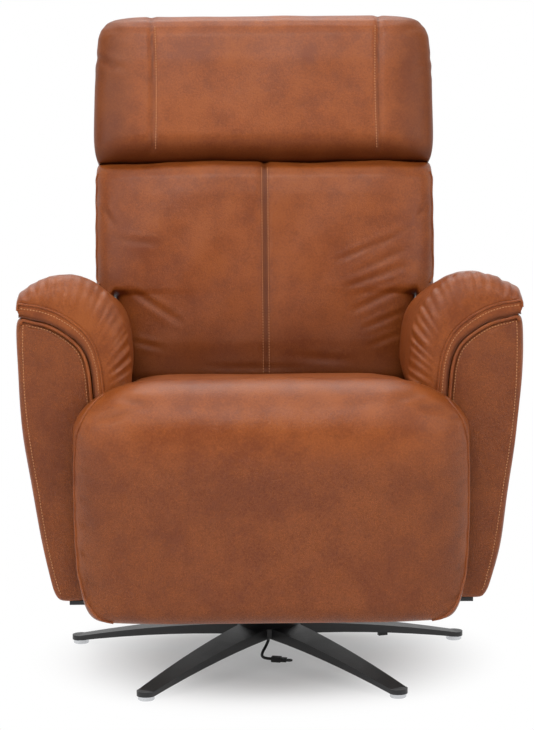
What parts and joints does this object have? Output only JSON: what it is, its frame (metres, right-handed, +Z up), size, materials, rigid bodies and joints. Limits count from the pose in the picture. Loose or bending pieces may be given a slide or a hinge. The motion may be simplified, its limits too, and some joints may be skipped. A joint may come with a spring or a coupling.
{
  "type": "swivel recliner",
  "caption": "Powered swivel recliner: leather seat, raised headrest, crescent arm pillows and lift-up footrest on a black star base.",
  "frame": {"origin": "on the floor, on the swivel axis, in the middle of the star base", "axes": "+Z up along the swivel axis, the sitter faces -Y, +X to the right seen from the front"},
  "size_m": [0.805, 0.8048, 1.0926],
  "materials": {
    "leather": "satin",
    "leather_dark": "satin",
    "black_metal": "satin",
    "steel": "satin",
    "dark_steel": "satin",
    "glide": "satin",
    "timber": "matte",
    "black_plastic": "matte",
    "button_metal": "satin",
    "black_rubber": "matte",
    "webbing": "matte"
  },
  "bodies": {
    "base": {"star_base": "black_metal", "star_glides": "glide", "swivel_thrust_ring": "steel", "lead_grommet": "black_rubber", "power_lead": "black_rubber", "lead_connector": "black_plastic", "cable_clip": "black_plastic"},
    "chair": {"swivel_socket": "dark_steel", "swivel_plate": "dark_steel", "plate_bolts": "steel", "base_rails": "dark_steel", "cross_tubes": "dark_steel", "side_board_left": "timber", "side_board_right": "timber", "front_seat_rail": "timber", "rear_seat_rail": "timber", "seat_springs": "steel", "spring_clips": "dark_steel", "seat_cushion": "leather", "arm_body_left": "leather_dark", "arm_body_right": "leather_dark", "arm_pillow_left": "leather", "arm_pillow_right": "leather", "arm_foot_blocks": "black_plastic", "arm_bolts": "steel", "rear_panel": "webbing", "footrest_lugs": "dark_steel", "footrest_hinge_pins": "steel", "back_pivot_pins": "steel", "footrest_drive_rail": "steel", "footrest_motor": "black_plastic", "back_drive_rail": "steel", "back_motor": "black_plastic", "drive_brackets": "dark_steel", "control_box": "black_plastic", "switch_housing": "black_plastic"},
    "footrest": {"footrest_arms": "dark_steel", "footrest_drive_tube": "dark_steel", "footrest_board": "timber", "footrest_pad": "leather"},
    "back": {"back_side_plates": "dark_steel", "back_crank_tube": "dark_steel", "back_frame": "timber", "back_webbing": "webbing", "back_cushion": "leather", "back_shell": "leather_dark", "headrest_lugs": "dark_steel", "headrest_hinge_pins": "steel"},
    "headrest": {"headrest_plates": "dark_steel", "headrest_board": "timber", "headrest_cushion": "leather", "headrest_shell": "leather_dark"},
    "footrest_carriage": {"footrest_carriage": "black_plastic"},
    "footrest_link": {"footrest_link": "dark_steel"},
    "back_carriage": {"back_carriage": "black_plastic"},
    "back_link": {"back_link": "dark_steel"},
    "footrest_up_button": {"footrest_up_button": "button_metal"},
    "footrest_down_button": {"footrest_down_button": "button_metal"},
    "back_down_button": {"back_down_button": "button_metal"},
    "back_up_button": {"back_up_button": "button_metal"}
  },
  "joints": [
    {"name": "swivel", "type": "hinge", "parent": "base", "child": "chair", "pos_m": [0, 0, 0.1], "axis": [0, 0, 1], "continuous": true},
    {"name": "footrest_lift", "type": "hinge", "parent": "chair", "child": "footrest", "pos_m": [0, -0.32, 0.44], "axis": [-1, 0, 0], "range_deg": [0, 88]},
    {"name": "back_recline", "type": "hinge", "parent": "chair", "child": "back", "pos_m": [0, 0.23, 0.3], "axis": [-1, 0, 0], "range_deg": [0, 38]},
    {"name": "headrest_tilt", "type": "hinge", "parent": "back", "child": "headrest", "pos_m": [0, 0.2247, 0.88066], "axis": [1, 0, 0], "range_deg": [0, 30]},
    {"name": "footrest_slide", "type": "slide", "parent": "chair", "child": "footrest_carriage", "axis": [0, -1, 0], "range_m": [0, 0.1882]},
    {"name": "footrest_link_turn", "type": "hinge", "parent": "footrest", "child": "footrest_link", "pos_m": [0, -0.29916, 0.32182], "axis": [1, 0, 0], "range_deg": [0, 64.8]},
    {"name": "back_slide", "type": "slide", "parent": "chair", "child": "back_carriage", "axis": [0, -1, 0], "range_m": [0, 0.0576]},
    {"name": "back_link_turn", "type": "hinge", "parent": "back_carriage", "child": "back_link", "pos_m": [0, 0.11793, 0.215], "axis": [1, 0, 0], "range_deg": [0, 5.2]},
    {"name": "footrest_up_press", "type": "slide", "parent": "chair", "child": "footrest_up_button", "axis": [1, 0, 0], "range_m": [0, 0.0015], "stiffness_N_per_m": 400},
    {"name": "footrest_down_press", "type": "slide", "parent": "chair", "child": "footrest_down_button", "axis": [1, 0, 0], "range_m": [0, 0.0015], "stiffness_N_per_m": 400},
    {"name": "back_down_press", "type": "slide", "parent": "chair", "child": "back_down_button", "axis": [1, 0, 0], "range_m": [0, 0.0015], "stiffness_N_per_m": 400},
    {"name": "back_up_press", "type": "slide", "parent": "chair", "child": "back_up_button", "axis": [1, 0, 0], "range_m": [0, 0.0015], "stiffness_N_per_m": 400}
  ],
  "couplings": [
    {"joint": "footrest_slide", "follows": "footrest_lift", "m_per_rad": 0.12189},
    {"joint": "footrest_link_turn", "follows": "footrest_lift", "ratio": 0.73443},
    {"joint": "back_slide", "follows": "back_recline", "m_per_rad": 0.085301},
    {"joint": "back_link_turn", "follows": "back_recline", "ratio": 0.135}
  ]
}
